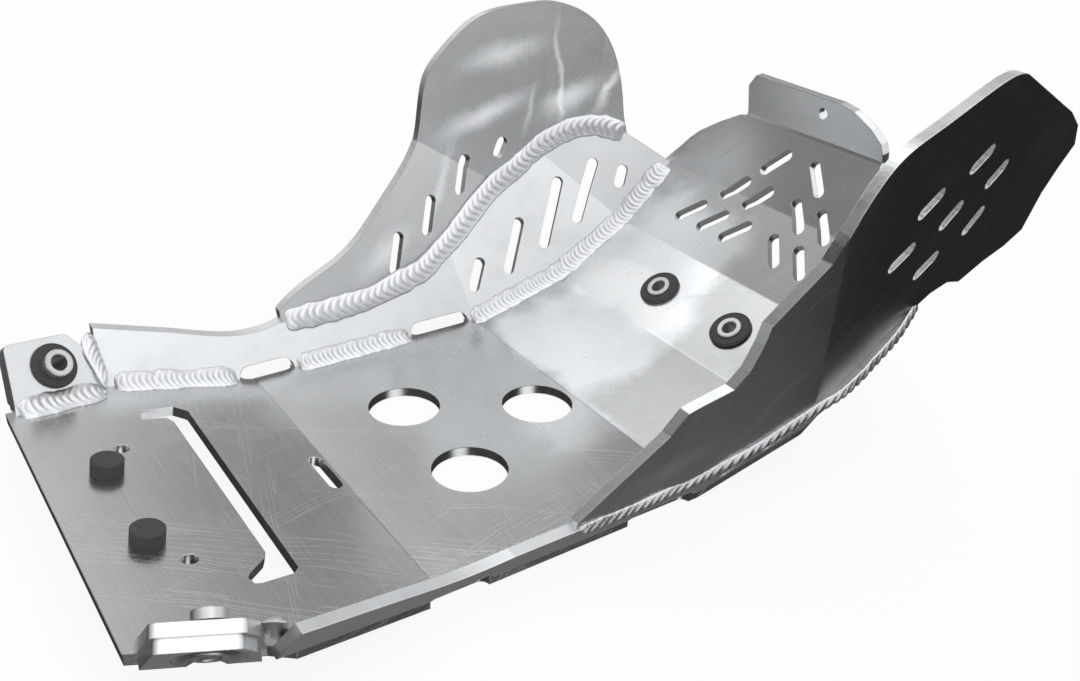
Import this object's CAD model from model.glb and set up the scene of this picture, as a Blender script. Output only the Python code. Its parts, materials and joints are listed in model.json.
"""Looks of the skid plate: brushed sheet, rippled weld beads, rubber and sleeves in a pale studio."""

import json
import logging
import math
from dataclasses import dataclass, field
from enum import Enum

import bpy
import numpy as np
from mathutils import Matrix, Vector


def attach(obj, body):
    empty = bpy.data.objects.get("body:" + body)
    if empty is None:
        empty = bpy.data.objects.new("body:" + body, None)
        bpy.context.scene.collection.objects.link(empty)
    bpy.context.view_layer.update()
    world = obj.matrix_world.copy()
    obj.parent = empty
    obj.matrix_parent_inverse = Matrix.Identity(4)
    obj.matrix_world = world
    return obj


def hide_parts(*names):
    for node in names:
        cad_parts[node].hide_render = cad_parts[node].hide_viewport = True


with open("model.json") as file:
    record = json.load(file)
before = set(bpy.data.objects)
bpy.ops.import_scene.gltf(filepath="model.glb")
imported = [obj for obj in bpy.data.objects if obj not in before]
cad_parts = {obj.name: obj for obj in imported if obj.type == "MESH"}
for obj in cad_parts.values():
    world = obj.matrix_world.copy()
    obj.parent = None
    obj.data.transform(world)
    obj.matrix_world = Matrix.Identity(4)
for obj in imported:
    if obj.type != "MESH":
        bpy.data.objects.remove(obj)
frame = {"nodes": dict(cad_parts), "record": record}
LOG = logging.getLogger("skid_plate")
BODY = "root"
MM_PER_METRE = 1000
SHEET = 4.5  # sheet thickness in millimetres
# Forward position of each bend of the base in metres, and how far the sheet turns there in degrees. The first
# row is the heading of the rear facet.
BASE_BENDS = ((-1.0, -9.6), (-0.06165, 9.6), (0.06165, 13.6), (0.11744, 19.1), (0.157, 14.5), (0.18546, 15.7))
GREY_TINT = (0.985, 0.993, 1.0)
WELD_TINT = (0.985, 0.99, 1.0)
STEEL_TINT = (1.0, 0.99, 0.96)
MIX_FACTOR, MIX_FIRST, MIX_SECOND, MIX_RESULT = 0, 6, 7, 2  # colour sockets of the Mix node

Value = "Wire | float | tuple"


class Slot(Enum):
    """Material slots of the record."""

    BASE = "base_sheet"
    WALL = "wall_sheet"
    WING = "wing_sheet"
    TAB = "tab_sheet"
    WELD = "weld_bead"
    GROMMET = "rubber_grommet"
    BUFFER = "rubber_buffer"
    SLEEVE = "steel_sleeve"


class Graph:
    """A node tree under construction."""

    def __init__(self, tree: bpy.types.NodeTree) -> None:
        """Clears the tree.

        Args:
            tree: the node tree to fill.
        """
        self.tree = tree
        tree.nodes.clear()

    def node(self, kind: str, settings: dict | None = None, values: dict | None = None) -> bpy.types.Node:
        """Adds a node.

        Args:
            kind: node type name.
            settings: attributes of the node.
            values: socket name or index to a value or a wire.

        Returns:
            The node.
        """
        made = self.tree.nodes.new(kind)
        for name, value in (settings or {}).items():
            setattr(made, name, value)
        for name, value in (values or {}).items():
            self.feed(made.inputs[name], value)
        return made

    def feed(self, socket: bpy.types.NodeSocket, value: Value) -> None:
        """Links a wire to a socket or sets its value.

        Args:
            socket: an input socket.
            value: a wire, a number or a tuple.
        """
        if isinstance(value, Wire):
            self.tree.links.new(value.socket, socket)
        else:
            socket.default_value = value

    def wire(self, kind: str, output: str | int, settings: dict | None = None,
             values: dict | None = None) -> "Wire":
        """Adds a node and returns one of its outputs.

        Args:
            kind: node type name.
            output: output name or index.
            settings: attributes of the node.
            values: socket values or wires.

        Returns:
            The output as a wire.
        """
        return Wire(self, self.node(kind, settings, values).outputs[output])

    def place(self) -> "Wire":
        """Returns the place on the object in metres."""
        return self.wire("ShaderNodeTexCoord", "Object")

    def noise(self, at: "Wire", scale: float, detail: float = 2.0, rough: float = 0.5) -> "Wire":
        """Noise from 0 to 1.

        Args:
            at: the place.
            scale: noise scale.
            detail: octaves.
            rough: weight of the finer octaves.

        Returns:
            The noise value.
        """
        return self.wire("ShaderNodeTexNoise", "Fac", values={
            "Vector": at, "Scale": scale, "Detail": detail, "Roughness": rough})

    def cells(self, at: "Wire", scale: float) -> "Wire":
        """Distance to the nearest random point.

        Args:
            at: the place.
            scale: cell scale.

        Returns:
            The distance.
        """
        return self.wire("ShaderNodeTexVoronoi", "Distance", values={"Vector": at, "Scale": scale})

    def blend(self, fac: Value, low: Value, high: Value) -> "Wire":
        """Mixes two colours.

        Args:
            fac: share of the second colour.
            low: first colour.
            high: second colour.

        Returns:
            The mixed colour.
        """
        mix = self.node("ShaderNodeMix", {"data_type": "RGBA"})
        for index, value in ((MIX_FACTOR, fac), (MIX_FIRST, low), (MIX_SECOND, high)):
            self.feed(mix.inputs[index], value)
        return Wire(self, mix.outputs[MIX_RESULT])

    def tinted(self, light: "Wire", tint: tuple[float, float, float]) -> "Wire":
        """Turns a grey value into a slightly tinted colour.

        Args:
            light: the grey value.
            tint: factors of red, green and blue.

        Returns:
            The colour.
        """
        parts = {i: light if share == 1.0 else light * share for i, share in enumerate(tint)}
        return self.wire("ShaderNodeCombineColor", 0, values=parts)


class Wire:
    """An output socket with arithmetic."""

    def __init__(self, graph: Graph, socket: bpy.types.NodeSocket) -> None:
        """Keeps the graph and the socket.

        Args:
            graph: the graph that the socket is in.
            socket: an output socket.
        """
        self.graph = graph
        self.socket = socket

    def math(self, kind: str, *values: Value) -> "Wire":
        """Adds a Math node.

        Args:
            kind: operation name.
            values: its inputs in order.

        Returns:
            The result.
        """
        return self.graph.wire("ShaderNodeMath", 0, {"operation": kind}, dict(enumerate(values)))

    def __add__(self, other: Value) -> "Wire":
        """Returns self + other."""
        return self.math("ADD", self, other)

    def __radd__(self, other: Value) -> "Wire":
        """Returns other + self."""
        return self.math("ADD", other, self)

    def __sub__(self, other: Value) -> "Wire":
        """Returns self - other."""
        return self.math("SUBTRACT", self, other)

    def __rsub__(self, other: Value) -> "Wire":
        """Returns other - self."""
        return self.math("SUBTRACT", other, self)

    def __mul__(self, other: Value) -> "Wire":
        """Returns self * other."""
        return self.math("MULTIPLY", self, other)

    def __rmul__(self, other: Value) -> "Wire":
        """Returns other * self."""
        return self.math("MULTIPLY", other, self)

    def __abs__(self) -> "Wire":
        """Returns the size of self."""
        return self.math("ABSOLUTE", self)

    def sign(self) -> "Wire":
        """Returns 1 where self is above 0, -1 where it is below."""
        return self.math("SIGN", self)

    def above(self, limit: float) -> "Wire":
        """Returns 1 where self is above the limit, else 0."""
        return self.math("GREATER_THAN", self, limit)

    def sine(self) -> "Wire":
        """Returns the sine of self in radians."""
        return self.math("SINE", self)

    def cosine(self) -> "Wire":
        """Returns the cosine of self in radians."""
        return self.math("COSINE", self)

    def ramp(self, low: float, high: float, start: float = 0.0, end: float = 1.0) -> "Wire":
        """Smooth step between two values.

        Args:
            low: value of self where the step starts.
            high: value of self where it ends.
            start: result at low.
            end: result at high.

        Returns:
            The stepped value.
        """
        return self.graph.wire("ShaderNodeMapRange", 0, {"interpolation_type": "SMOOTHSTEP"}, {
            "Value": self, "From Min": low, "From Max": high, "To Min": start, "To Max": end})

    def scaled(self, x: float, y: float, z: float) -> "Wire":
        """Multiplies a vector by axis.

        Args:
            x: factor along x.
            y: factor along y.
            z: factor along z.

        Returns:
            The stretched vector.
        """
        return self.graph.wire("ShaderNodeVectorMath", 0, {"operation": "MULTIPLY"}, {0: self, 1: (x, y, z)})

    def shifted(self, other: "Wire", by: float) -> "Wire":
        """Adds a scaled value to every component of a vector.

        Args:
            other: the value.
            by: its factor.

        Returns:
            The moved vector.
        """
        return self.graph.wire("ShaderNodeVectorMath", 0, {"operation": "ADD"}, {0: self, 1: other * by})

    def plus(self, other: "Wire") -> "Wire":
        """Adds another vector.

        Args:
            other: the vector.

        Returns:
            The sum.
        """
        return self.graph.wire("ShaderNodeVectorMath", 0, {"operation": "ADD"}, {0: self, 1: other})

    def dot(self, x: float, y: float, z: float) -> "Wire":
        """Dot product with a fixed vector.

        Args:
            x: first component.
            y: second component.
            z: third component.

        Returns:
            The product.
        """
        return self.graph.wire("ShaderNodeVectorMath", "Value", {"operation": "DOT_PRODUCT"},
                               {0: self, 1: (x, y, z)})


def new_material(name: str) -> tuple[bpy.types.Material, Graph, bpy.types.Node]:
    """Makes a material with a principled shader linked to its output.

    Args:
        name: material name.

    Returns:
        The material, its graph and the shader node.
    """
    made = bpy.data.materials.new(name)
    made.use_nodes = True
    graph = Graph(made.node_tree)
    shader = graph.node("ShaderNodeBsdfPrincipled")
    out = graph.node("ShaderNodeOutputMaterial")
    graph.tree.links.new(shader.outputs[0], out.inputs[0])
    return made, graph, shader


def put_normal(graph: Graph, shader: bpy.types.Node, height: Wire, strength: float, distance: float,
               edge: float, flat: bool = False) -> None:
    """Feeds a bump over rounded edges to the shader's normal.

    Args:
        graph: the material's graph.
        shader: the principled shader.
        height: bump height.
        strength: bump strength.
        distance: height of a bump of one, in metres.
        edge: radius of the rounded edges, in metres.
        flat: True where every face is plane, so that no shading runs over a blunt corner.
    """
    rounded = graph.wire("ShaderNodeBevel", 0, {"samples": 4}, {"Radius": edge})
    if flat:
        true = graph.wire("ShaderNodeNewGeometry", "True Normal")
        shaded = graph.wire("ShaderNodeNewGeometry", "Normal")
        rounded = rounded.plus(true).plus(shaded.scaled(-1.0, -1.0, -1.0))
    bump = graph.wire("ShaderNodeBump", 0, values={
        "Strength": strength, "Distance": distance, "Height": height, "Normal": rounded})
    graph.feed(shader.inputs["Normal"], bump)


@dataclass(frozen=True)
class Gleam:
    """A burnished streak on a wing, placed in the side view: metres, and degrees for its turn."""

    x: float
    z: float
    turn: float
    length: float
    width: float
    gain: float
    warping: float = 0.012

    def spot(self, at: Wire, warp: Wire) -> Wire:
        """Strength of the streak.

        Args:
            at: the place.
            warp: noise that makes its outline uneven.

        Returns:
            Its gain at the middle, 0 outside.
        """
        c, s = math.cos(math.radians(self.turn)), math.sin(math.radians(self.turn))
        along = at.dot(c, 0, s) - (c * self.x + s * self.z)
        across = at.dot(-s, 0, c) - (c * self.z - s * self.x) + (warp - 0.5) * self.warping
        return abs(along).ramp(self.length, 0.0) * abs(across).ramp(self.width, 0.0) * self.gain


@dataclass(frozen=True)
class Haze:
    """A cloudy pale stretch of the base, placed in the plan view in metres."""

    x: tuple[float, float, float, float]
    y: tuple[float, float, float, float]
    gain: float
    warping: float = 0.035

    def spot(self, at: Wire, warp: Wire) -> Wire:
        """Strength of the stretch.

        Args:
            at: the place.
            warp: noise that makes its outline uneven.

        Returns:
            Its gain inside, 0 outside.
        """
        total = self.gain
        for (start, full, fading, end), value in ((self.x, at.dot(1, 0, 0)), (self.y, at.dot(0, 1, 0))):
            value = value + (warp - 0.5) * self.warping
            total = value.ramp(start, full) * value.ramp(end, fading) * total
        return total


@dataclass(frozen=True)
class Scratch:
    """One direction of fine long scratches."""

    turn: float
    across: float
    along: float
    lean: float = 0.35
    climb: float = 0.9
    half_width: float = 0.012
    patches: tuple[float, float] = (0.56, 0.62)

    def line(self, g: Graph, at: Wire) -> Wire:
        """Scratches of this direction.

        Args:
            g: the material's graph.
            at: the place.

        Returns:
            1 on a scratch, 0 beside it.
        """
        c, s = math.cos(math.radians(self.turn)), math.sin(math.radians(self.turn))
        turned = g.wire("ShaderNodeCombineXYZ", 0, values={
            0: at.dot(c, s, self.lean * c) * self.along, 1: at.dot(-s, c, self.climb) * self.across,
            2: at.dot(0, 0, 1) * self.along})
        line = abs(g.noise(turned, 1.0, 1.0) - 0.5).ramp(self.half_width, 0.0)
        return line * g.noise(turned.shifted(at.dot(1, 1, 1), 9.0), 0.21, 1.0).ramp(*self.patches)


SCRATCHES = (Scratch(12.0, 420.0, 9.0), Scratch(-38.0, 300.0, 12.0), Scratch(71.0, 360.0, 8.0))


@dataclass(frozen=True)
class SheetMetal:
    """Brushed aluminium sheet with clouds, scratches, specks and bright cut edges.

    Its faces are the outward normal of a left-hand sheet, or its bends where it is folded across. The grain
    is the noise scale by axis. Its outside darkens the outer face, by one factor behind the sheet's fold and
    by another ahead of it.
    """

    name: str
    tone: float
    rough: float
    faces: tuple[float, float, float] = (0.0, 0.0, 1.0)
    grain: tuple[float, float, float] = (25.0, 1400.0, 1400.0)
    cloud: float = 14.0
    scuffs: float = 1.0
    bends: tuple[tuple[float, float], ...] = ()
    marks: tuple[Gleam | Haze, ...] = ()
    burnish: float = 0.0
    satin: float = 0.0
    outside: tuple[float, float] = (1.0, 1.0)
    fold: tuple[float, float] = (0.075, 0.125)
    fold_lean: float = 0.3
    bright: float = 0.97
    bump: float = 0.00012
    edge_radius: float = 0.0006

    def facing(self, g: Graph, at: Wire) -> Wire:
        """How far the surface faces along the sheet's thickness.

        Args:
            g: the material's graph.
            at: the place.

        Returns:
            1 on the sheet's outer or lower face, -1 on its inner or upper face, near 0 on its cut edges.
        """
        normal = g.wire("ShaderNodeNewGeometry", "True Normal")
        if not self.bends:
            x, y, z = self.faces
            return normal.dot(x, 0, z) + normal.dot(0, y, 0) * at.dot(0, 1, 0).sign()
        ahead, heading = at.dot(1, 0, 0), math.radians(self.bends[0][1])
        for place, turn in self.bends[1:]:
            heading = heading + ahead.above(place) * math.radians(turn)
        return normal.dot(1, 0, 0) * heading.sine() - normal.dot(0, 0, 1) * heading.cosine()

    def shades(self, at: Wire, facing: Wire) -> Wire:
        """Factor by which the outer face is darker than the inner one.

        Args:
            at: the place.
            facing: how far the surface faces outward.

        Returns:
            1 on the inner face, less on the outer one.
        """
        outer = facing.ramp(0.6, 0.8)
        return 1.0 - outer + outer * at.dot(1, 0, self.fold_lean).ramp(*self.fold, *self.outside)

    def build(self) -> bpy.types.Material:
        """Makes the material.

        Returns:
            The material.
        """
        made, g, shader = new_material(self.name)
        at = g.place()
        facing = self.facing(g, at)
        # Patterns over the sheet, each from 0 to 1. The brush lines waver a little.
        warp = g.noise(at, 9.0, 3.0)
        bent = at.shifted(warp - 0.5, 0.01)
        brush = g.noise(bent.scaled(*self.grain), 1.0, 3.0, 0.6)
        along, *across = self.grain
        fine = g.noise(at.scaled(along * 3, across[0] * 1.7, across[1] * 1.7), 1.0, 2.0)
        cloud = g.noise(at, self.cloud, 4.0, 0.55)
        soft = g.noise(at.shifted(warp, 0.08), self.cloud * 0.45, 2.0)
        specks = g.cells(at, 330.0).ramp(0.10, 0.05) * g.noise(at, 60.0, 2.0).ramp(0.64, 0.76)
        hair = sum(scratch.line(g, bent) for scratch in SCRATCHES)
        shine = sum(mark.spot(at, g.noise(at, 34.0, 4.0, 0.6)) for mark in self.marks)
        dull = g.noise(at, 38.0, 5.0, 0.65).ramp(0.45, 0.75)
        edge = abs(facing).ramp(0.8, 0.68)
        # Colour: brushed grey with specks, scratches and marks, a darker outside and bright cut edges.
        light = self.tone * (0.86 + 0.12 * brush + 0.12 * cloud + 0.06 * fine - 0.05 * dull)
        light = light - specks * 0.05 * self.scuffs + hair * 0.04 * self.scuffs
        light = (light + shine * (self.bright - light)) * self.shades(at, facing)
        light = light * (1.0 - edge) + edge * (0.80 + 0.18 * g.noise(at.scaled(60.0, 60.0, 700.0), 1.0, 3.0))
        rough = (self.rough + 0.14 * (soft - 0.5) + 0.1 * (brush - 0.5) + 0.08 * dull + specks * 0.04
                 - shine * self.burnish)
        g.feed(shader.inputs["Base Color"], g.tinted(light, GREY_TINT))
        g.feed(shader.inputs["Metallic"], 1.0 - shine * self.satin * facing.ramp(-0.5, -0.7))
        g.feed(shader.inputs["Roughness"], rough)
        # The soft and cloudy waves make the mirrored light run unevenly over a flat sheet.
        height = brush * 0.3 + fine * 0.2 + soft * 16.0 + cloud * 1.6 - hair * 0.3
        put_normal(g, shader, height, 0.5, self.bump, self.edge_radius, flat=not self.bends)
        return made


@dataclass(frozen=True)
class WeldMetal:
    """Bright weld metal, darker between its ripples."""

    name: str = "weld metal"
    tone: float = 0.80
    rough: float = 0.36
    bump: float = 0.0001
    edge_radius: float = 0.0003

    def build(self) -> bpy.types.Material:
        """Makes the material.

        Returns:
            The material.
        """
        made, g, shader = new_material(self.name)
        at = g.place()
        grain = g.noise(at, 900.0, 3.0)
        cloud = g.noise(at, 120.0, 3.0)
        ridge = g.wire("ShaderNodeNewGeometry", "Pointiness").ramp(0.44, 0.52)
        light = self.tone * (0.52 + 0.42 * ridge + 0.08 * cloud + 0.04 * grain)
        g.feed(shader.inputs["Base Color"], g.tinted(light, WELD_TINT))
        g.feed(shader.inputs["Metallic"], 1.0)
        g.feed(shader.inputs["Roughness"], self.rough + 0.16 * cloud - 0.08 * ridge)
        put_normal(g, shader, grain * 0.4 + cloud, 0.4, self.bump, self.edge_radius)
        return made


@dataclass(frozen=True)
class Rubber:
    """Matt black moulded rubber with patches of dust."""

    name: str
    tone: float
    rough: float
    dust_tone: tuple[float, float, float, float] = (0.09, 0.088, 0.085, 1.0)
    bump: float = 0.0001
    edge_radius: float = 0.0004

    def build(self) -> bpy.types.Material:
        """Makes the material.

        Returns:
            The material.
        """
        made, g, shader = new_material(self.name)
        at = g.place()
        grain = g.noise(at, 1500.0, 3.0)
        dust = g.noise(at, 260.0, 4.0).ramp(0.5, 0.75)
        base = g.blend(dust * 0.5, (self.tone, self.tone, self.tone * 1.05, 1.0), self.dust_tone)
        g.feed(shader.inputs["Base Color"], base)
        g.feed(shader.inputs["Roughness"], self.rough + 0.25 * dust + 0.1 * grain)
        put_normal(g, shader, grain, 0.5, self.bump, self.edge_radius)
        return made


@dataclass(frozen=True)
class TurnedSteel:
    """Zinc bright turned steel."""

    name: str = "turned steel"
    tone: float = 0.68
    rough: float = 0.26
    bump: float = 0.00008
    edge_radius: float = 0.0003

    def build(self) -> bpy.types.Material:
        """Makes the material.

        Returns:
            The material.
        """
        made, g, shader = new_material(self.name)
        at = g.place()
        cloud = g.noise(at, 300.0, 3.0)
        fine = g.noise(at.scaled(2500.0, 2500.0, 2500.0), 1.0, 2.0)
        light = self.tone * (0.8 + 0.3 * cloud + 0.08 * fine)
        g.feed(shader.inputs["Base Color"], g.tinted(light, STEEL_TINT))
        g.feed(shader.inputs["Metallic"], 1.0)
        g.feed(shader.inputs["Roughness"], self.rough + 0.2 * cloud)
        put_normal(g, shader, fine + cloud, 0.3, self.bump, self.edge_radius)
        return made


@dataclass(frozen=True)
class Bead:
    """A weld bead in a corner between two faces.

    Corner holds points of the left-hand bead in millimetres. First and second point from the corner along
    the two faces, and crest points out of it. Width, crown, pitch and depth are in metres.
    """

    node: str
    corner: list[Vector]
    first: list[Vector]
    second: list[Vector]
    crest: list[Vector]
    width: float
    crown: float
    pitch: float
    depth: float
    side: int
    seed: int
    rows_per_mm: float = 2.6
    across: int = 15
    pitch_spread: tuple[float, float] = (0.82, 1.18)
    spare_ripples: int = 12
    sway: float = 0.05
    end_width: float = 0.55
    end_length: float = 0.7
    rim_sink: float = 0.00012
    back: float = 0.0002

    def rows(self, vectors: list[Vector]) -> np.ndarray:
        """Vectors of the bead as rows, on its own side of the part."""
        return np.array([tuple(vector) for vector in vectors]) * (1, self.side, 1)

    def build(self) -> bpy.types.Object:
        """Makes the rippled bead as a mesh closed at both ends.

        Returns:
            The bead.
        """
        rng = np.random.default_rng(self.seed)
        corner = self.rows(self.corner) / MM_PER_METRE
        run = np.r_[0, np.cumsum(np.linalg.norm(np.diff(corner, axis=0), axis=1))]
        length = run[-1]
        s = np.linspace(0, length, int(length * MM_PER_METRE * self.rows_per_mm))
        line = smooth_line(run, corner, s)
        side_a, side_b, out = (unit(smooth_line(run, self.rows(vectors), s))
                               for vectors in (self.first, self.second, self.crest))
        steps = rng.uniform(*self.pitch_spread, int(length / self.pitch) + self.spare_ripples)
        marks = np.cumsum(self.pitch * steps) - 3 * self.pitch
        sway = np.interp(s, marks, rng.normal(0, 1, len(marks)))
        taper = np.clip(np.minimum(s, length - s) / (self.width * self.end_length), 0.0, 1.0) ** 0.5
        width = self.width * (1 + self.sway * sway) * (self.end_width + (1 - self.end_width) * taper)
        control = line + out * (self.crown * taper)[:, None]
        columns = []
        for t in np.linspace(0, 1, self.across):
            where = s + 1.5 * self.pitch * (1 - (2 * t - 1) ** 2)
            index = np.clip(np.searchsorted(marks, where) - 1, 0, len(marks) - 2)
            part = (where - marks[index]) / (marks[index + 1] - marks[index])
            ripple = np.sin(np.clip(part, 0, 1) ** 0.7 * math.pi) ** 0.6
            lift = self.depth * (ripple - 0.6) * math.sin(math.pi * t) ** 0.4 if 0 < t < 1 else 0 * s
            sink = self.rim_sink * (2 * t - 1) ** 8
            point = ((1 - t) ** 2 * (line + side_a * width[:, None]) + 2 * t * (1 - t) * control
                     + t ** 2 * (line + side_b * width[:, None]))
            columns.append(point + out * (lift * taper - sink)[:, None])
        return closed_strip(self.node + "_ripples", np.stack(columns, axis=1), line - out * self.back)


def unit(rows: np.ndarray) -> np.ndarray:
    """Scales rows to length one.

    Args:
        rows: vectors by row.

    Returns:
        The unit vectors.
    """
    return rows / np.linalg.norm(rows, axis=1, keepdims=True)


def smooth_line(run: np.ndarray, points: np.ndarray, s: np.ndarray) -> np.ndarray:
    """Cubic interpolation through points along a run.

    Args:
        run: distance of each point.
        points: the points by row.
        s: distances to read at.

    Returns:
        The points at s.
    """
    slope = np.gradient(points, run, axis=0)
    k = np.clip(np.searchsorted(run, s) - 1, 0, len(run) - 2)
    h = (run[k + 1] - run[k])[:, None]
    t = ((s - run[k]) / (run[k + 1] - run[k]))[:, None]
    return ((2 * t**3 - 3 * t**2 + 1) * points[k] + (t**3 - 2 * t**2 + t) * h * slope[k]
            + (-2 * t**3 + 3 * t**2) * points[k + 1] + (t**3 - t**2) * h * slope[k + 1])


def closed_strip(name: str, grid: np.ndarray, back: np.ndarray) -> bpy.types.Object:
    """Mesh of a strip closed along its back line and at both ends.

    Args:
        name: object name.
        grid: rows by columns of points.
        back: one point behind each row.

    Returns:
        The object.
    """
    rows, cols, _ = grid.shape
    ring = np.concatenate([grid, back[:, None, :]], axis=1)
    n = cols + 1
    faces = [(i * n + j, i * n + (j + 1) % n, (i + 1) * n + (j + 1) % n, (i + 1) * n + j)
             for i in range(rows - 1) for j in range(n)]
    faces += [tuple(range(n))[::-1], tuple((rows - 1) * n + j for j in range(n))]
    mesh = bpy.data.meshes.new(name)
    mesh.from_pydata(ring.reshape(-1, 3).tolist(), [], faces)
    mesh.validate()
    mesh.update()
    made = bpy.data.objects.new(name, mesh)
    bpy.context.scene.collection.objects.link(made)
    for polygon in mesh.polygons:
        polygon.use_smooth = len(polygon.vertices) == 4
    bpy.context.view_layer.objects.active = made
    made.select_set(True)
    bpy.ops.object.mode_set(mode="EDIT")
    bpy.ops.mesh.select_all(action="SELECT")
    bpy.ops.mesh.normals_make_consistent(inside=False)
    bpy.ops.object.mode_set(mode="OBJECT")
    made.select_set(False)
    return made


@dataclass(frozen=True)
class Face:
    """A plane by a point and its outward normal, in millimetres."""

    point: tuple[float, float, float]
    normal: tuple[float, float, float]

    def y(self, x: float, z: float) -> float:
        """Side position at x and z.

        Args:
            x: forward position.
            z: height.

        Returns:
            The y value in millimetres.
        """
        p, n = self.point, self.normal
        return p[1] - (n[0] * (x - p[0]) + n[2] * (z - p[2])) / n[1]


@dataclass
class PlateShape:
    """Sizes of the bent plates that the welds follow, for the left side, in millimetres and degrees.

    The seam is the line where the wing leaves the wall, by forward position and height. The tab's spot lies
    on the rear facet's own axes.
    """

    lengths: tuple[float, ...] = (110.2, 123.3, 57.4, 47.0, 41.9, 39.9)
    headings: tuple[float, ...] = (-9.6, 0.0, 13.6, 32.7, 47.2, 62.9)
    foot: tuple[float, ...] = (87.5, 87.0, 89.0, 87.0, 83.0)
    dihedral: float = 54.0
    tab_spot: tuple[float, float, float] = (22.07, 94.96, 13.2)
    tab_yaw: float = 16.2
    tab_tilt: float = 51.3
    seam: tuple[tuple[float, float], ...] = (
        (-40.7, 23.4), (-14.8, 23.5), (8.8, 24.6), (40.4, 30.9), (61.3, 41.0), (84.8, 56.7), (105.6, 68.3),
        (127.0, 83.8), (142.5, 90.8), (154.6, 92.1), (166.9, 88.3))
    touch: float = 0.01
    top: list[tuple[float, float]] = field(default_factory=list)
    walls: list[Face] = field(default_factory=list)

    def __post_init__(self) -> None:
        """Works out the profile corners and the wall faces."""
        x, z = -self.lengths[1] / 2, SHEET
        h = math.radians(self.headings[0])
        self.top = [(x - self.lengths[0] * math.cos(h), z - self.lengths[0] * math.sin(h)), (x, z)]
        for length, heading in zip(self.lengths[1:], self.headings[1:]):
            x += length * math.cos(math.radians(heading))
            z += length * math.sin(math.radians(heading))
            self.top.append((x, z))
        self.walls = [self.wall(k) for k in (1, 2, 3, 4)]

    def up(self, k: int) -> Vector:
        """Normal of facet k.

        Args:
            k: facet number.

        Returns:
            The normal.
        """
        h = math.radians(self.headings[k])
        return Vector((-math.sin(h), 0, math.cos(h)))

    def ahead(self, k: int) -> Vector:
        """Forward direction along facet k.

        Args:
            k: facet number.

        Returns:
            The direction.
        """
        h = math.radians(self.headings[k])
        return Vector((math.cos(h), 0, math.sin(h)))

    def tab_frame(self) -> tuple[Vector, Vector, Vector]:
        """Inner face of the left rear tab.

        Returns:
            Its middle, the direction along the tab and the direction up its slope.
        """
        axes = Matrix((self.ahead(0), Vector((0, 1, 0)), self.up(0))).transposed()
        yaw, tilt = math.radians(self.tab_yaw), math.radians(self.tab_tilt)
        along = Vector((math.cos(yaw), math.sin(yaw), 0))
        rise = Vector((-math.sin(yaw) * math.cos(tilt), math.cos(yaw) * math.cos(tilt), math.sin(tilt)))
        rear = Vector((self.top[0][0], 0, self.top[0][1]))
        return rear + axes @ Vector(self.tab_spot), axes @ along, axes @ rise

    def wall(self, k: int) -> Face:
        """Inner face of the wall on facet k.

        Args:
            k: facet number.

        Returns:
            The face.
        """
        d = math.radians(self.dihedral)
        (x0, z0), (x1, z1) = self.top[k], self.top[k + 1]
        a = Vector((x0, self.foot[k - 1], z0))
        b = Vector((x1, self.foot[k], z1))
        slope = self.up(k) * math.sin(d) + Vector((0, math.cos(d), 0))
        n = (b - a).cross(slope).normalized()
        n = n if n.y > 0 else -n
        return Face(tuple(a), tuple(n))

    def wall_at(self, x: float, z: float) -> Face:
        """The wall face that shows at x and z.

        Args:
            x: forward position.
            z: height.

        Returns:
            The face.
        """
        return min(self.walls, key=lambda face: face.y(x, z))

    def floor(self, x: float) -> tuple[float, int]:
        """Height of the base's top face and its facet number at x.

        Args:
            x: forward position.

        Returns:
            Height and facet number.
        """
        k = max(i for i in range(len(self.foot)) if x >= self.top[i][0] - self.touch)
        (x0, z0), (x1, z1) = self.top[k], self.top[k + 1]
        return z0 + (z1 - z0) * (x - x0) / (x1 - x0), k

    def seam_z(self, x: float) -> float:
        """Height of the seam at x.

        Args:
            x: forward position.

        Returns:
            The height.
        """
        return float(np.interp(x, [p[0] for p in self.seam], [p[1] for p in self.seam]))

    def seam_point(self, x: float) -> Vector:
        """Place of the seam on the wall's inner face at x.

        Args:
            x: forward position.

        Returns:
            The point.
        """
        z = self.seam_z(x)
        return Vector((x, self.wall_at(x, z).y(x, z), z))


@dataclass(frozen=True)
class WingBend:
    """Outward normals of a wing, each at the forward position where it holds."""

    places: tuple[float, ...]
    normals: tuple[tuple[float, float, float], ...]

    def at(self, x: float) -> Vector:
        """Normal at x.

        Args:
            x: forward position in millimetres.

        Returns:
            The unit normal.
        """
        parts = (np.interp(x, self.places, row) for row in zip(*self.normals))
        return Vector([float(part) for part in parts]).normalized()


LEFT_BEND = WingBend((10.0, 75.0, 112.0, 138.0, 158.0), (
    (-0.046, 0.928, -0.371), (-0.062, 0.929, -0.364), (0.129, 0.988, -0.08), (0.436, 0.896, -0.087),
    (0.546, 0.831, -0.103)))
RIGHT_BEND = WingBend((10.0, 50.0, 110.0), (
    (-0.04, 0.939, -0.342), (-0.06, 0.94, -0.33), (0.15, 0.96, -0.24)))
# Side, name, rear end, front end and wing of each seam between wall and wing.
SEAMS = ((1, "left", -38.5, 165.5, LEFT_BEND), (-1, "right", -13.0, 137.5, RIGHT_BEND))
# Name, rear end, front end and seed of each bead between base and wall.
FEET = (("rear", -123.0, -69.5, 100), ("middle", -39.0, 22.0, 184), ("front", 59.5, 183.0, 282))


def turned_to(vector: Vector, way: Vector) -> Vector:
    """Flips a direction where it points away from another.

    Args:
        vector: the direction.
        way: the direction that it should roughly follow.

    Returns:
        The unit direction.
    """
    return (vector if vector.dot(way) > 0 else -vector).normalized()


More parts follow.
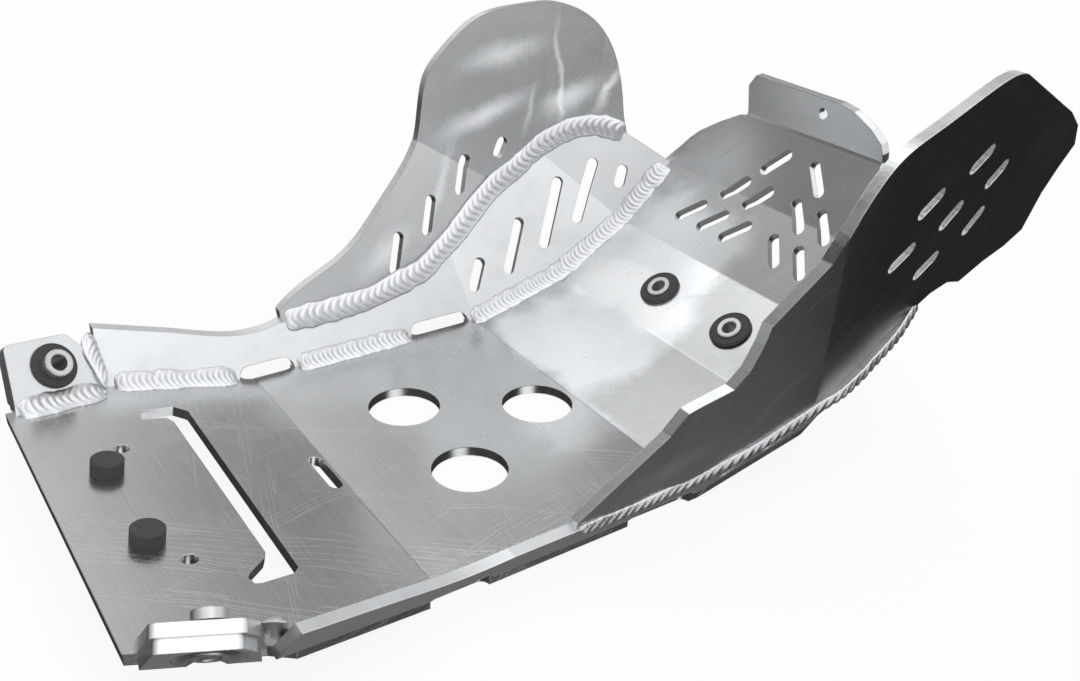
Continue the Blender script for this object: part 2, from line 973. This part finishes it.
@dataclass
class Welds:
    """All weld beads: widths, crowns, pitches and depths in metres, places in millimetres.

    The joint between tab and wall holds pairs of a height up the tab's slope and a height on the wall's end.
    """

    shape: PlateShape
    seam_width: float = 0.0062
    seam_crown: float = 0.0040
    seam_pitch: float = 0.0040
    seam_depth: float = 0.0009
    seam_points: int = 19
    outer_share: float = 0.72
    outer_lean: float = 0.03
    inner_lean: float = -0.12
    foot_width: float = 0.0064
    foot_crown: float = 0.0042
    foot_pitch: float = 0.0027
    foot_depth: float = 0.0007
    foot_spacing: float = 8.0
    tab_foot_width: float = 0.0066
    tab_foot_crown: float = 0.0054
    tab_wall_width: float = 0.0058
    tab_wall_crown: float = 0.0050
    tab_pitch: float = 0.0031
    tab_depth: float = 0.0008
    tab_foot: tuple[float, ...] = (-21.0, -11.0, -1.0, 8.0, 17.0)  # along the tab from its middle
    tab_drop: float = 16.9  # from the tab's middle down its slope to its foot
    tab_edge: float = 15.5  # the tab's front edge, at the middle's height
    tab_slant: float = 0.25  # how far that edge leans back as it rises
    joint: tuple[tuple[float, float], ...] = ((6.5, 38.0), (0.0, 31.5), (-7.0, 25.0), (-15.0, 17.8))
    joint_stand: float = 0.6
    joint_sink: float = -0.1
    joint_lean: float = 0.5
    wall_end: float = -127.0

    def seam_bead(self, node: str, x0: float, x1: float, wing: WingBend, side: int, outer: bool,
                  seed: int) -> Bead:
        """The bead between a wall and a wing.

        Args:
            node: the CAD node it stands for.
            x0: rear end.
            x1: front end.
            wing: normals of the wing.
            side: 1 for left, -1 for right.
            outer: True for the bead on the outside.
            seed: random seed.

        Returns:
            The bead.
        """
        top = Vector((0, 0, 1))
        corner, first, second, crest = [], [], [], []
        for x in np.linspace(x0, x1, self.seam_points):
            p = self.shape.seam_point(x)
            tangent = (self.shape.seam_point(x + 1) - p).normalized()
            n, m = Vector(self.shape.wall_at(p.x, p.z).normal), wing.at(x)
            out = (n + m).normalized()
            lean = out * (self.outer_lean if outer else self.inner_lean)
            corner.append(p + out * SHEET if outer else p)
            first.append(turned_to(tangent.cross(m), top) + lean)
            second.append(turned_to(tangent.cross(n), -top) + lean)
            crest.append(lean)
        width = self.seam_width * (self.outer_share if outer else 1.0)
        return Bead(node, corner, first, second, crest, width, self.seam_crown, self.seam_pitch,
                    self.seam_depth, side, seed)

    def foot_bead(self, node: str, x0: float, x1: float, side: int, seed: int) -> Bead:
        """The bead between the base and a wall.

        Args:
            node: the CAD node it stands for.
            x0: rear end.
            x1: front end.
            side: 1 for left, -1 for right.
            seed: random seed.

        Returns:
            The bead.
        """
        inward = Vector((0, -1, 0))
        corner, first, second = [], [], []
        for x in np.linspace(x0, x1, max(5, int((x1 - x0) / self.foot_spacing))):
            z, k = self.shape.floor(x)
            face = self.shape.wall_at(x, z)
            corner.append(Vector((x, face.y(x, z), z)))
            first.append(turned_to(self.shape.ahead(k).cross(Vector(face.normal)), self.shape.up(k)))
            second.append(inward)
        crest = [a + b for a, b in zip(first, second)]
        return Bead(node, corner, first, second, crest, self.foot_width, self.foot_crown, self.foot_pitch,
                    self.foot_depth, side, seed)

    def tab_foot_bead(self, node: str, side: int, seed: int) -> Bead:
        """The bead at a tab's foot.

        Args:
            node: the CAD node it stands for.
            side: 1 for left, -1 for right.
            seed: random seed.

        Returns:
            The bead.
        """
        spot, along, rise = self.shape.tab_frame()
        inward = turned_to(along.cross(self.shape.up(0)), Vector((0, -1, 0)))
        corner = [spot + along * a - rise * self.tab_drop for a in self.tab_foot]
        count = len(corner)
        return Bead(node, corner, [rise] * count, [inward] * count, [rise + inward] * count,
                    self.tab_foot_width, self.tab_foot_crown, self.tab_pitch, self.tab_depth, side, seed)

    def tab_wall_bead(self, node: str, side: int, seed: int) -> Bead:
        """The bead between a tab and the rear end of its wall.

        Args:
            node: the CAD node it stands for.
            side: 1 for left, -1 for right.
            seed: random seed.

        Returns:
            The bead.
        """
        spot, along, rise = self.shape.tab_frame()
        inward, ahead = along.cross(rise), Vector((self.joint_lean, 0, 0))
        corner, first, second = [], [], []
        for b, z in self.joint:
            edge = spot + along * (self.tab_edge - self.tab_slant * b) + rise * b
            wall = Vector((self.wall_end, self.shape.wall_at(self.wall_end, z).y(self.wall_end, z), z))
            step = (wall - edge) * 0.5
            corner.append(edge + step + inward * self.joint_stand)
            first.append(inward * self.joint_sink - step.normalized())
            second.append(inward * self.joint_sink + step.normalized() + ahead)
        return Bead(node, corner, first, second, [inward + ahead] * len(corner), self.tab_wall_width,
                    self.tab_wall_crown, self.tab_pitch, self.tab_depth, side, seed)

    def beads(self) -> list[Bead]:
        """Lists every bead.

        Returns:
            The beads.
        """
        made = []
        for side, name, start, end, wing in SEAMS:
            made += [
                self.seam_bead(f"{name}_wing_weld", start, end, wing, side, False, 3 + side),
                self.seam_bead(f"{name}_wing_outer_weld", start, end - 1.0, wing, side, True, 13 + side),
                self.tab_foot_bead(f"{name}_tab_base_weld", side, 41 + side),
                self.tab_wall_bead(f"{name}_tab_wall_weld", side, 51 + side)]
            for part, x0, x1, seed in FEET:
                made.append(self.foot_bead(f"{name}_lower_weld_{part}", x0, x1, side, seed + side))
        return made

    def build(self, metal: bpy.types.Material) -> None:
        """Builds the beads and lets them stand for their CAD nodes.

        Args:
            metal: their material.
        """
        for bead in self.beads():
            piece = bead.build()
            piece.data.materials.append(metal)
            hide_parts(bead.node)
            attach(piece, BODY)
            LOG.info("bead %s, %d faces", piece.name, len(piece.data.polygons))


WING_GLEAMS = (
    Gleam(0.0912, 0.1016, 19.6, 0.040, 0.0085, 1.0), Gleam(0.1400, 0.1075, 28.0, 0.026, 0.0100, 1.0),
    Gleam(0.1595, 0.1120, 59.0, 0.024, 0.0035, 1.0), Gleam(0.1030, 0.1320, 11.0, 0.036, 0.0090, 0.8),
    Gleam(0.1345, 0.1200, 92.0, 0.046, 0.0022, 0.8), Gleam(0.0230, 0.0430, 24.0, 0.028, 0.0090, 0.8),
    Gleam(0.0620, 0.0700, 60.0, 0.034, 0.0045, 0.6), Gleam(0.1180, 0.1020, 75.0, 0.020, 0.0030, 0.6))
BASE_HAZES = (
    Haze((0.058, 0.066, 0.130, 0.142), (-0.014, 0.000, 0.066, 0.080), 0.85),
    Haze((0.112, 0.121, 0.168, 0.182), (-0.004, 0.010, 0.080, 0.095), 0.85),
    Haze((0.020, 0.040, 0.060, 0.066), (-0.050, -0.030, -0.012, 0.000), 0.5))


@dataclass
class Finishes:
    """Materials by slot."""

    made: dict[str, bpy.types.Material] = field(default_factory=dict)

    def build(self) -> None:
        """Makes every material."""
        recipes = {
            Slot.BASE: SheetMetal(
                "base sheet", tone=0.62, rough=0.24, grain=(1100.0, 22.0, 1100.0), bends=BASE_BENDS,
                marks=BASE_HAZES, satin=0.12),
            Slot.WALL: SheetMetal("wall sheet", tone=0.78, rough=0.42, faces=(0.1, 0.85, -0.52), scuffs=0.5),
            Slot.WING: SheetMetal(
                "wing sheet", tone=0.68, rough=0.28, faces=(0.1, 0.95, -0.25), grain=(1500.0, 60.0, 45.0),
                scuffs=0.5, marks=WING_GLEAMS, burnish=0.12, satin=0.85, outside=(0.95, 0.5)),
            Slot.TAB: SheetMetal("tab sheet", tone=0.82, rough=0.36, faces=(-0.32, 0.75, -0.58), scuffs=0.5),
            Slot.WELD: WeldMetal(),
            Slot.GROMMET: Rubber("grommet rubber", tone=0.04, rough=0.5),
            Slot.BUFFER: Rubber("buffer rubber", tone=0.045, rough=0.6),
            Slot.SLEEVE: TurnedSteel(),
        }
        for slot, recipe in recipes.items():
            self.made[slot.value] = recipe.build()
            LOG.info("finish %s", slot.value)

    def dress(self) -> None:
        """Gives every CAD node the material of its slot."""
        slots = {row["node"]: row["material_slot"] for row in frame["record"]["subparts"]}
        for name, node in frame["nodes"].items():
            node.data.materials.clear()
            node.data.materials.append(self.made[slots[name]])
            LOG.info("node %s wears %s", name, slots[name])


@dataclass(frozen=True)
class Patch:
    """A lighter or darker patch of the surroundings, round one direction."""

    way: tuple[float, float, float]
    rim: float
    full: float
    gain: float

    def light(self, way: Wire) -> Wire:
        """Light of the patch.

        Args:
            way: the direction looked in.

        Returns:
            Its gain at the middle, 0 beyond the rim.
        """
        return way.dot(*self.way).ramp(self.rim, self.full, 0.0, self.gain)


LOW_PATCH = Patch((0.0, -0.94, -0.34), 0.88, 0.965, 0.95)
SKY_PATCHES = (Patch((0.0, 0.72, 0.69), 0.86, 0.97, 0.14), Patch((-0.1, -0.87, 0.49), 0.88, 0.98, 0.22),
               Patch((-0.69, 0.72, 0.05), 0.85, 0.97, -0.2))


@dataclass
class Studio:
    """Camera, light, floor and backdrop, in metres, with the focal length in picture pixels."""

    eye: tuple[float, float, float] = (-0.217531, -0.361332, 0.277537)
    right: tuple[float, float, float] = (0.8239726, -0.5651216, 0.0413124)
    down: tuple[float, float, float] = (-0.2382913, -0.4117409, -0.8795946)
    ahead: tuple[float, float, float] = (0.5140879, 0.7149175, -0.4739268)
    focal: float = 1112.5
    picture: int = 1080
    sensor: float = 36.0
    floor_size: float = 8.0
    floor_gap: float = 0.0005
    floor_tone: tuple[float, float, float, float] = (0.9, 0.9, 0.9, 1.0)
    white: tuple[float, float, float, float] = (1.0, 1.0, 1.0, 1.0)
    sky_tone: tuple[float, float, float, float] = (0.97, 0.985, 1.0, 1.0)
    aim: tuple[float, float, float] = (0.0, 0.0, 0.05)

    def camera(self) -> None:
        """Places the camera solved from the picture's corners."""
        data = bpy.data.cameras.new("camera")
        data.sensor_width = self.sensor
        data.lens = self.focal / self.picture * self.sensor
        data.clip_start, data.clip_end = 0.01, 20.0
        camera = bpy.data.objects.new("camera", data)
        r, d, a = Vector(self.right), Vector(self.down), Vector(self.ahead)
        turn = Matrix((r, -d, -a)).transposed()
        camera.matrix_world = Matrix.Translation(self.eye) @ turn.to_4x4()
        bpy.context.scene.collection.objects.link(camera)
        bpy.context.scene.camera = camera

    def sky(self) -> None:
        """Soft studio surroundings, white where the camera sees them."""
        world = bpy.data.worlds.new("studio")
        bpy.context.scene.world = world
        world.use_nodes = True
        g = Graph(world.node_tree)
        way = g.wire("ShaderNodeTexCoord", "Generated")
        height = way.dot(0, 0, 1)
        side = way.dot(0.25, -0.97, 0.0)
        above = height.ramp(-0.12, 0.12)
        level = side.ramp(-0.7, 0.6, 0.42, 0.84)
        crown = height.ramp(0.45, 0.95, 0.0, 0.30) + sum(patch.light(way) for patch in SKY_PATCHES)
        band = g.noise(way.scaled(2.4, 2.4, 3.6), 1.0, 2.0).ramp(0.38, 0.62, -0.16, 0.30)
        ground = LOW_PATCH.light(way) + height.ramp(-0.62, -0.95, 0.0, 0.14)
        glow = 0.03 + ground + above * (level + crown + band)
        path = g.node("ShaderNodeLightPath")
        seen = Wire(g, path.outputs["Is Camera Ray"])
        lit = g.node("ShaderNodeBackground", values={"Strength": glow, "Color": self.sky_tone})
        white = g.node("ShaderNodeBackground", values={"Strength": 1.0, "Color": self.white})
        mix = g.node("ShaderNodeMixShader")
        g.feed(mix.inputs[0], seen)
        g.tree.links.new(lit.outputs[0], mix.inputs[1])
        g.tree.links.new(white.outputs[0], mix.inputs[2])
        out = g.node("ShaderNodeOutputWorld")
        g.tree.links.new(mix.outputs[0], out.inputs[0])

    def lamp(self, name: str, at: tuple[float, float, float], size: float, power: float) -> None:
        """Adds a square area lamp aimed at the part.

        Args:
            name: lamp name.
            at: its place.
            size: side length.
            power: watts.
        """
        data = bpy.data.lights.new(name, "AREA")
        data.size = size
        data.energy = power
        lamp = bpy.data.objects.new(name, data)
        lamp.location = at
        lamp.rotation_euler = (Vector(self.aim) - Vector(at)).to_track_quat("-Z", "Y").to_euler()
        bpy.context.scene.collection.objects.link(lamp)

    def floor(self) -> None:
        """A pale floor that glows almost white to the camera and isn't mirrored by the part."""
        bpy.ops.mesh.primitive_plane_add(size=self.floor_size, location=(0, 0, -self.floor_gap))
        plane = bpy.context.object
        plane.name = "floor"
        made, g, shader = new_material("floor")
        g.feed(shader.inputs["Base Color"], self.floor_tone)
        g.feed(shader.inputs["Roughness"], 0.9)
        emit = g.node("ShaderNodeEmission", values={"Color": self.white, "Strength": 1.0})
        out = next(n for n in g.tree.nodes if n.bl_idname == "ShaderNodeOutputMaterial")
        mix = g.node("ShaderNodeMixShader")
        g.feed(mix.inputs[0], Wire(g, g.node("ShaderNodeLightPath").outputs["Is Camera Ray"]) * 0.9)
        g.tree.links.new(shader.outputs[0], mix.inputs[1])
        g.tree.links.new(emit.outputs[0], mix.inputs[2])
        g.tree.links.new(mix.outputs[0], out.inputs[0])
        plane.data.materials.append(made)
        plane.visible_glossy = False

    def build(self) -> None:
        """Builds the studio."""
        self.camera()
        self.sky()
        self.lamp("key", (0.1, -1.2, 1.6), 1.4, 1.6)
        self.lamp("top", (0.3, 0.9, 1.9), 1.2, 1.6)
        self.floor()
        bpy.context.scene.view_settings.view_transform = "Standard"
        LOG.info("studio ready")


def main() -> None:
    """Builds the looks round the frame."""
    logging.basicConfig(level=logging.INFO)
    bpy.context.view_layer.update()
    finishes = Finishes()
    finishes.build()
    finishes.dress()
    Welds(PlateShape()).build(finishes.made[Slot.WELD.value])
    Studio().build()


if __name__ == "__main__":
    main()
